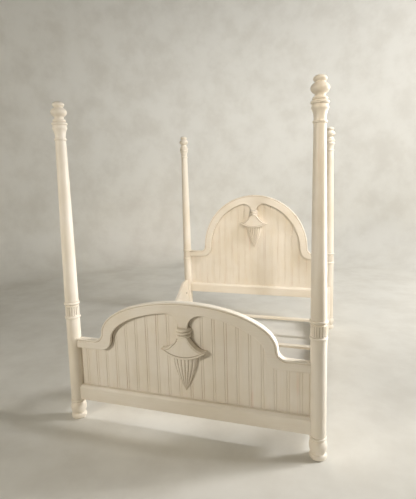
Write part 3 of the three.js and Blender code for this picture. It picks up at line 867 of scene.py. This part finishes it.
def pocket_cutters(side, sides=40):
    """The round pockets for the barrel nuts, bored into the rail's inner face near its ends."""
    inner_face = side * (POST_X - RAIL_HALF)
    start, end = inner_face - side, inner_face + side * POCKET_DEPTH
    angles = np.arange(sides) * 2 * math.pi / sides
    circle = POCKET_R * np.stack([np.cos(angles), np.sin(angles)], 1)
    return [
        loft([np.insert(circle + (y, BOLT_Z), 0, x, axis=1) for x in (start, end)])
        for y in (-NUT_Y, NUT_Y)
    ]


def batten_shape(node, ease, stations=25):
    """A straight batten that fills its CAD node's box, with eased edges and ends."""
    low, high = box_mm(node)
    axis = int(np.argmax(high - low))
    a, b = [i for i in range(3) if i != axis]
    middle = [(low[i] + high[i]) / 2 for i in range(3)]
    outline = rounded([
        (middle[a], low[b]), (high[a], low[b]), (high[a], high[b]), (low[a], high[b]), (low[a], low[b]),
        (middle[a], low[b]),
    ], ease, steps=6)[:-1]
    outline = refined(outline, spacing=0.9)
    centre = np.array([middle[a], middle[b]])
    loops = []
    for share in np.linspace(0, 1, stations):
        loops.append(batten_loop(outline, axis, low[axis] * (1 - share) + high[axis] * share))
    end_face = centre + (outline - centre) * END_SHRINK
    loops.insert(0, batten_loop(end_face, axis, low[axis]))
    loops.append(batten_loop(end_face, axis, high[axis]))
    loops[1][:, axis] += END_EASE
    loops[-2][:, axis] -= END_EASE
    return loft(loops)


def batten_loop(outline, axis, along):
    return np.insert(outline, axis, along, axis=1)


def nut_shape(node):
    """A barrel nut: a short plug with a rounded rim, lying along X."""
    low, high = box_mm(node)
    centre = (low + high) / 2
    half = (high[0] - low[0]) / 2
    profile = rounded([(0, -half), (NUT_R, -half), (NUT_R, half), (0, half)], radius=0.16, steps=6)
    upright = lathe(profile, 48)
    lying = Shape(upright.vertices[:, [2, 0, 1]], upright.faces)
    return lying.moved(centre)


def nut_slot(node, side):
    """The screwdriver slot in the nut's inner face."""
    low, high = box_mm(node)
    _, y, z = (low + high) / 2
    face = low[0] if side > 0 else high[0]
    start, end = sorted((face - side * 0.5, face + side * NUT_SLOT_DEPTH))
    left, right = y - NUT_SLOT_HALF, y + NUT_SLOT_HALF
    bottom, top = z - 2 * NUT_R, z + 2 * NUT_R
    loop = np.array([(left, bottom), (right, bottom), (right, top), (left, top)])
    return loft([np.insert(loop, 0, x, axis=1) for x in (start, end)])


# --------------------------------------------------------------- materials


def srgb(code):
    """A linear colour from its usual hex code."""
    values = [int(code[i:i + 2], 16) / 255 for i in (1, 3, 5)]
    return tuple(v / 12.92 if v <= 0.04045 else ((v + 0.055) / 1.055) ** 2.4 for v in values) + (1.0,)


# A Mix node's colour sockets share their names with its other sockets, so they go by number.
MIX_A = 6
MIX_B = 7
MIX_RESULT = 2


class Nodes:
    """Adds nodes to one material, and joins their sockets."""

    def __init__(self, name):
        self.material = bpy.data.materials.new(name)
        self.material.use_nodes = True
        self.tree = self.material.node_tree
        self.shader = self.tree.nodes["Principled BSDF"]

    def add(self, kind, inputs=(), **settings):
        node = self.tree.nodes.new(kind)
        for key, value in settings.items():
            setattr(node, key, value)
        for key, value in dict(inputs).items():
            self.set(node.inputs[key], value)
        return node

    def set(self, socket, value):
        """Joins an input to another node's output, or gives it a constant."""
        if isinstance(value, bpy.types.NodeSocket):
            self.tree.links.new(value, socket)
        else:
            socket.default_value = value

    def place(self, scale=(1, 1, 1)):
        """The object's own coordinates, stretched by a scale along each axis."""
        coordinates = self.add("ShaderNodeTexCoord").outputs["Object"]
        return self.add("ShaderNodeMapping", {"Vector": coordinates, "Scale": scale}).outputs["Vector"]

    def noise(self, vector, scale, detail=4.0, rough=0.55, distortion=0.0):
        node = self.add("ShaderNodeTexNoise", {
            "Vector": vector, "Scale": scale, "Detail": detail, "Roughness": rough,
            "Distortion": distortion,
        })
        return node.outputs["Fac"]

    def step(self, value, low, high, start=0.0, end=1.0):
        """Eases from start to end as value goes from low to high."""
        node = self.add("ShaderNodeMapRange", {
            "Value": value, "From Min": low, "From Max": high, "To Min": start, "To Max": end,
        }, interpolation_type="SMOOTHSTEP")
        return node.outputs["Result"]

    def maths(self, operation, a, b):
        """The result of a Math node, such as an ADD or a MAXIMUM."""
        node = self.add("ShaderNodeMath", operation=operation)
        self.set(node.inputs[0], a)
        self.set(node.inputs[1], b)
        return node.outputs["Value"]

    def times(self, a, b):
        return self.maths("MULTIPLY", a, b)

    def mix(self, factor, a, b):
        node = self.add("ShaderNodeMix", data_type="RGBA", blend_type="MIX")
        self.set(node.inputs["Factor"], factor)
        self.set(node.inputs[MIX_A], a)
        self.set(node.inputs[MIX_B], b)
        return node.outputs[MIX_RESULT]

    def edge(self):
        """The value that mark_edges stored: above 0 on edges, below 0 in corners."""
        return self.add("ShaderNodeAttribute", attribute_name="edge").outputs["Fac"]

    def bump(self, height, distance, strength=1.0, normal=None):
        inputs = {"Height": height, "Distance": distance, "Strength": strength}
        if normal is not None:
            inputs["Normal"] = normal
        return self.add("ShaderNodeBump", inputs).outputs["Normal"]

    def finish(self, colour, roughness, normal):
        self.set(self.shader.inputs["Base Color"], colour)
        self.set(self.shader.inputs["Roughness"], roughness)
        self.set(self.shader.inputs["Normal"], normal)
        return self.material


PAINT_LIGHT = srgb("#f1e8da")
PAINT_DARK = srgb("#e8ddcb")
PAINT_YELLOWED = srgb("#e9dcc3")
UNDERCOAT = srgb("#e4c2ad")
WORN_WOOD = srgb("#bd947a")
# Painted shade for corners, and a darker painted shadow for deep corners and for carvings' feet on the
# panels.
CORNER_SHADE = srgb("#b59d7a")
DEEP_CORNER_SHADOW = srgb("#7d6342")


def along(axis, stretch):
    """A mapping scale that draws a pattern out along one axis."""
    return tuple(stretch if name == axis else 1.0 for name in "xyz")


def painted_wood(axis, planked=False):
    """Cream satin paint over wood, brushed along one axis, worn at edges, with painted shade in its
    corners.
    """
    nodes = Nodes(f"cream_paint_{'planks' if planked else axis}")
    everywhere = nodes.place()
    tone = nodes.noise(everywhere, scale=34.0, detail=3.0)
    fine = nodes.noise(everywhere, scale=900.0, detail=3.0)
    brush = nodes.noise(nodes.place(along(axis, 0.045)), scale=1500.0, detail=3.0, rough=0.6)
    grain = nodes.noise(nodes.place(along(axis, 0.03)), scale=520.0, rough=0.6, distortion=0.5)
    patches = nodes.noise(nodes.place(along(axis, 0.35)), scale=120.0, detail=3.0)

    # The paint itself: two creams, brush marks, yellowed patches and some undercoat in the grain.
    colour = nodes.mix(nodes.step(tone, 0.35, 0.68), PAINT_LIGHT, PAINT_DARK)
    colour = nodes.mix(nodes.step(brush, 0.35, 0.75, 0.0, 0.42), colour, PAINT_DARK)
    colour = nodes.mix(nodes.step(patches, 0.5, 0.75, 0.0, 0.35), colour, PAINT_YELLOWED)
    undercoat_shown = nodes.times(nodes.step(grain, 0.58, 0.78), nodes.step(patches, 0.42, 0.62))
    colour = nodes.mix(nodes.times(undercoat_shown, 0.45), colour, UNDERCOAT)

    # Painted shade: a brown tint darkens corners and quirks where shade falls, thinner in the beads'
    # quirks, with a darker painted shadow in deep corners.
    edge = nodes.edge()
    corner_shade_amount = 0.28 if planked else 0.6
    colour = nodes.mix(nodes.step(edge, -0.02, -0.16, 0.0, corner_shade_amount), colour, CORNER_SHADE)
    if not planked:
        colour = nodes.mix(nodes.step(edge, -0.14, -0.32, 0.0, 0.75), colour, DEEP_CORNER_SHADOW)

    # Paint rubbed through at edges and, on the planks, in streaks along the quirks.
    rubbed = nodes.noise(nodes.place(along(axis, 0.3)), scale=210.0, rough=0.6)
    worn = nodes.times(nodes.step(edge, 0.05, 0.16), nodes.step(rubbed, 0.6, 0.7))
    if planked:
        streaks = nodes.noise(nodes.place(along(axis, 0.16)), scale=170.0, detail=2.0, rough=0.5)
        streaked = nodes.times(nodes.step(edge, -0.01, -0.1), nodes.step(streaks, 0.54, 0.64))
        worn = nodes.maths("MAXIMUM", worn, nodes.times(streaked, 0.9))
    colour = nodes.mix(nodes.times(worn, 0.72), colour, WORN_WOOD)

    # Satin where the paint is whole, and dull where it is worn.
    satin = nodes.step(nodes.maths("ADD", tone, fine), 0.7, 1.3, 0.36, 0.5)
    roughness = nodes.mix(worn, satin, (0.7, 0.7, 0.7, 1))
    normal = nodes.bump(fine, 0.00002, 0.5)
    normal = nodes.bump(brush, 0.00006, 0.6, normal)
    normal = nodes.bump(grain, 0.00008, 0.5, normal)
    nodes.shader.inputs["Specular IOR Level"].default_value = 0.45
    return nodes.finish(colour, roughness, normal)


def bare_wood(axis):
    """Unpainted pine, for the ledgers and the hidden dowels."""
    nodes = Nodes(f"bare_wood_{axis}")
    rings = nodes.noise(
        nodes.place(along(axis, 0.05)), scale=420.0, detail=5.0, rough=0.6, distortion=1.2,
    )
    pores = nodes.noise(nodes.place(along(axis, 0.04)), scale=2600.0, detail=2.0)
    tone = nodes.noise(nodes.place(), scale=60.0)
    colour = nodes.mix(nodes.step(rings, 0.35, 0.65), srgb("#d9bb8c"), srgb("#b98f5c"))
    colour = nodes.mix(nodes.step(tone, 0.4, 0.7, 0.0, 0.4), colour, srgb("#c9a46f"))
    colour = nodes.mix(nodes.step(pores, 0.62, 0.75, 0.0, 0.5), colour, srgb("#8d6a41"))
    roughness = nodes.step(rings, 0.3, 0.7, 0.62, 0.78)
    normal = nodes.bump(pores, 0.00004, 0.6, nodes.bump(rings, 0.00006, 0.6))
    return nodes.finish(colour, roughness, normal)


def aged_steel():
    """Dull steel with a brown bloom, for the rail bolts and nuts."""
    nodes = Nodes("aged_steel")
    bloom = nodes.noise(nodes.place(), scale=700.0, detail=5.0, rough=0.65)
    scratches = nodes.noise(nodes.place(along("y", 0.1)), scale=3200.0, detail=2.0)
    colour = nodes.mix(nodes.step(bloom, 0.4, 0.62), srgb("#6f6154"), srgb("#432c1c"))
    roughness = nodes.step(bloom, 0.35, 0.7, 0.34, 0.72)
    nodes.set(nodes.shader.inputs["Metallic"], nodes.step(bloom, 0.5, 0.72, 1.0, 0.35))
    normal = nodes.bump(scratches, 0.00002, 0.5, nodes.bump(bloom, 0.00003, 0.6))
    return nodes.finish(colour, roughness, normal)


def floor_paint():
    """A plain pale floor with a faint mottle."""
    nodes = Nodes("pale_floor")
    mottle = nodes.noise(nodes.place(), scale=26.0, detail=5.0, rough=0.6)
    colour = nodes.mix(nodes.step(mottle, 0.35, 0.7), srgb("#dbd8cf"), srgb("#d1cdc3"))
    roughness = nodes.step(mottle, 0.3, 0.7, 0.55, 0.7)
    normal = nodes.bump(nodes.noise(nodes.place(), scale=160.0), 0.0001, 0.3)
    return nodes.finish(colour, roughness, normal)


# ------------------------------------------------------------------- stage


def add_sweep(flat=0.37, bend=0.07, height=0.65, sides=128):
    """A pale studio floor that curves up into a round wall, open at the top, all in metres."""
    profile = np.concatenate([
        line((0.02, 0), (flat, 0), 12),
        arc(flat, bend, bend, bend, -90, 0, 16)[1:],
        line((flat + bend, bend), (flat + bend, height), 4)[1:],
    ])
    vertices, faces = [(0, 0, 0)], []
    for radius, z in profile:
        for side in range(sides):
            angle = 2 * math.pi * side / sides
            vertices.append((radius * math.cos(angle), radius * math.sin(angle), z))
    for side in range(sides):
        after = (side + 1) % sides
        faces.append([0, 1 + side, 1 + after])
        for ring in range(len(profile) - 1):
            low = 1 + ring * sides
            faces.append([low + side, low + sides + side, low + sides + after, low + after])
    mesh = bpy.data.meshes.new("sweep_mesh")
    mesh.from_pydata(vertices, [], faces)
    mesh.shade_smooth()
    mesh.materials.append(floor_paint())
    sweep = add_object("floor", mesh)


DAYLIGHT = (0.98, 0.99, 1.02)
WHITE_LIGHT = (1.0, 1.0, 1.02)
WARM_LIGHT = (1.0, 0.96, 0.88)
AMBER_LIGHT = (1.0, 0.89, 0.74)
SKY_STRENGTH = 0.035


def add_light(name, place, aim, size, power, colour, spread=180):
    """A square lamp aimed at a point: metres, watts, and degrees for the spread of its light."""
    data = bpy.data.lights.new(name, "AREA")
    data.shape = "SQUARE"
    data.size = size
    data.energy = power
    data.color = colour
    data.spread = math.radians(spread)
    lamp = add_object(name, data)
    lamp.location = place
    lamp.rotation_euler = (Vector(aim) - Vector(place)).to_track_quat("-Z", "Y").to_euler()
    lamp.visible_camera = False


def add_lights():
    """A high lamp washes the scene from the right, one lights the wall, three small ones the bed."""
    add_light(
        "key", place=(0.33, 0.0, 0.4), aim=(0.25, 0.42, 0.12),
        size=0.12, power=2.3, colour=DAYLIGHT,
    )
    add_light(
        "wall", place=(-0.05, 0.12, 0.24), aim=(-0.02, 0.44, 0.2),
        size=0.1, power=0.13, colour=DAYLIGHT, spread=150,
    )
    add_light(
        "rim", place=(0.34, 0.06, 0.14), aim=(POST_X * MM, -POST_Y * MM, 0.085),
        size=0.05, power=0.115, colour=WHITE_LIGHT, spread=45,
    )
    add_light(
        "headboard", place=(0.28, -0.32, 0.3), aim=(0, 0.09, 0.085),
        size=0.03, power=0.036, colour=AMBER_LIGHT, spread=32,
    )
    add_light(
        "fill", place=(-0.18, -0.37, 0.18), aim=(-0.03, -0.09, 0.09),
        size=0.025, power=0.125, colour=WARM_LIGHT, spread=90,
    )
    world = bpy.data.worlds.new("studio")
    world.use_nodes = True
    world.node_tree.nodes["Background"].inputs["Strength"].default_value = SKY_STRENGTH
    bpy.context.scene.world = world


# The camera stands at the foot end, turned to the left of the bed's length and tilted down a
# little. Its place and lens are in millimetres, its angles in radians.
CAMERA_PLACE = (73.58, -271.271, 127.972)
CAMERA_YAW = -0.3117
CAMERA_PITCH = 0.1223
CAMERA_ROLL = -0.0267
CAMERA_LENS = 29.46
CAMERA_SHIFT = (-0.003, -0.0315)


def add_camera():
    """Looks along the yaw and pitch, with the roll turning the picture about that line."""
    yaw, pitch, roll = CAMERA_YAW, CAMERA_PITCH, CAMERA_ROLL
    forward = Vector((
        math.sin(yaw) * math.cos(pitch), math.cos(yaw) * math.cos(pitch), -math.sin(pitch),
    ))
    level = Vector((math.cos(yaw), -math.sin(yaw), 0))
    upright = level.cross(forward)
    right = math.cos(roll) * level + math.sin(roll) * upright
    up = math.cos(roll) * upright - math.sin(roll) * level
    data = bpy.data.cameras.new("camera")
    data.lens = CAMERA_LENS
    data.shift_x, data.shift_y = CAMERA_SHIFT
    data.clip_start = 0.01
    camera = add_object("camera", data)
    turn = Matrix((right, up, -forward)).transposed().to_4x4()
    camera.matrix_world = Matrix.Translation(Vector(CAMERA_PLACE) * MM) @ turn
    bpy.context.scene.camera = camera


# ---------------------------------------------------------------- assembly


def add_posts(paint):
    """Four posts of four turned pieces each, standing on their finials' axes."""
    turnings = {
        "bun_foot": lathe(foot_profile(), TURNING_SIDES),
        "lower_post": lathe(lower_post_profile(), REEDS * 10, reeding),
        "upper_post": lathe(upper_post_profile(), TURNING_SIDES),
        "finial": lathe(finial_profile(), TURNING_SIDES),
    }
    for end in ("foot", "head"):
        for side in ("left", "right"):
            x, y, _ = centre_mm(f"{end}_{side}_finial")
            for name, turning in turnings.items():
                add_piece(f"{end}_{side}_{name}", turning.moved((x, y, 0)), paint)


def add_board(board, paint_along, paint_up, paint_planks):
    """A footboard or a headboard. The carvings and beads keep shading soft up to sharper angles."""
    name = board["name"]
    place = (0, board["y"], 0)
    top = board["pendant_top"]
    crest = crest_shape(board).moved(place)
    panel = panel_shape(board).moved(place)
    bottom_rail = bottom_rail_shape(board).moved(place)
    cap = bands_shape(top).joined(bell_shape(top)).moved(place)
    drop = drop_shape(top).moved(place)
    # The crest and the pendant's pieces get a painted shadow along their feet on the panel.
    add_piece(f"{name}_crest", crest, paint_along, shadowed_at_panel=True)
    add_piece(f"{name}_panel", panel, paint_planks, sharp_degrees=75)
    add_piece(f"{name}_bottom_rail", bottom_rail, paint_along)
    add_piece(f"{name}_pendant_cap", cap, paint_up, sharp_degrees=60, shadowed_at_panel=True)
    add_piece(f"{name}_pendant_drop", drop, paint_up, sharp_degrees=70, shadowed_at_panel=True)


def add_sides(paint_along, wood_along, steel):
    """Side rails with their ledgers, and the nuts and bolts that hold them to the posts."""
    for side_name, side in (("left", -1), ("right", 1)):
        rail = side_rail_shape(side)
        add_piece(f"{side_name}_side_rail", rail, paint_along, cutters=pocket_cutters(side))
        ledger = f"{side_name}_ledger"
        add_piece(ledger, batten_shape(ledger, 0.2), wood_along)
        for end in ("foot", "head"):
            nut = f"{end}_{side_name}_rail_nut"
            add_piece(nut, nut_shape(nut), steel, [nut_slot(nut, side)])
            dress(f"{end}_{side_name}_rail_bolt", steel)


def dress(node, material):
    """Gives a CAD node that stays its finished material."""
    materials = frame["nodes"][node].data.materials
    materials.clear()
    materials.append(material)


def add_bed():
    """All of the bed, with paint and wood whose brushing and grain run along each axis."""
    paint = {axis: painted_wood(axis) for axis in "xyz"}
    wood = {axis: bare_wood(axis) for axis in "xyz"}
    steel = aged_steel()
    planks = painted_wood("z", planked=True)
    add_posts(paint["z"])
    for board in (FOOTBOARD, HEADBOARD):
        add_board(board, paint["x"], paint["z"], planks)
    add_sides(paint["y"], wood["y"], steel)
    for slat in ("slat_foot", "slat_middle", "slat_head"):
        add_piece(slat, batten_shape(slat, 0.3), paint["x"])
    for node in frame["nodes"]:
        if node.endswith("post_dowel"):
            dress(node, wood["z"])
        elif "dowel" in node:
            dress(node, wood["x"])


add_bed()
add_sweep()
add_lights()
add_camera()
bpy.context.scene.view_settings.view_transform = "Standard"
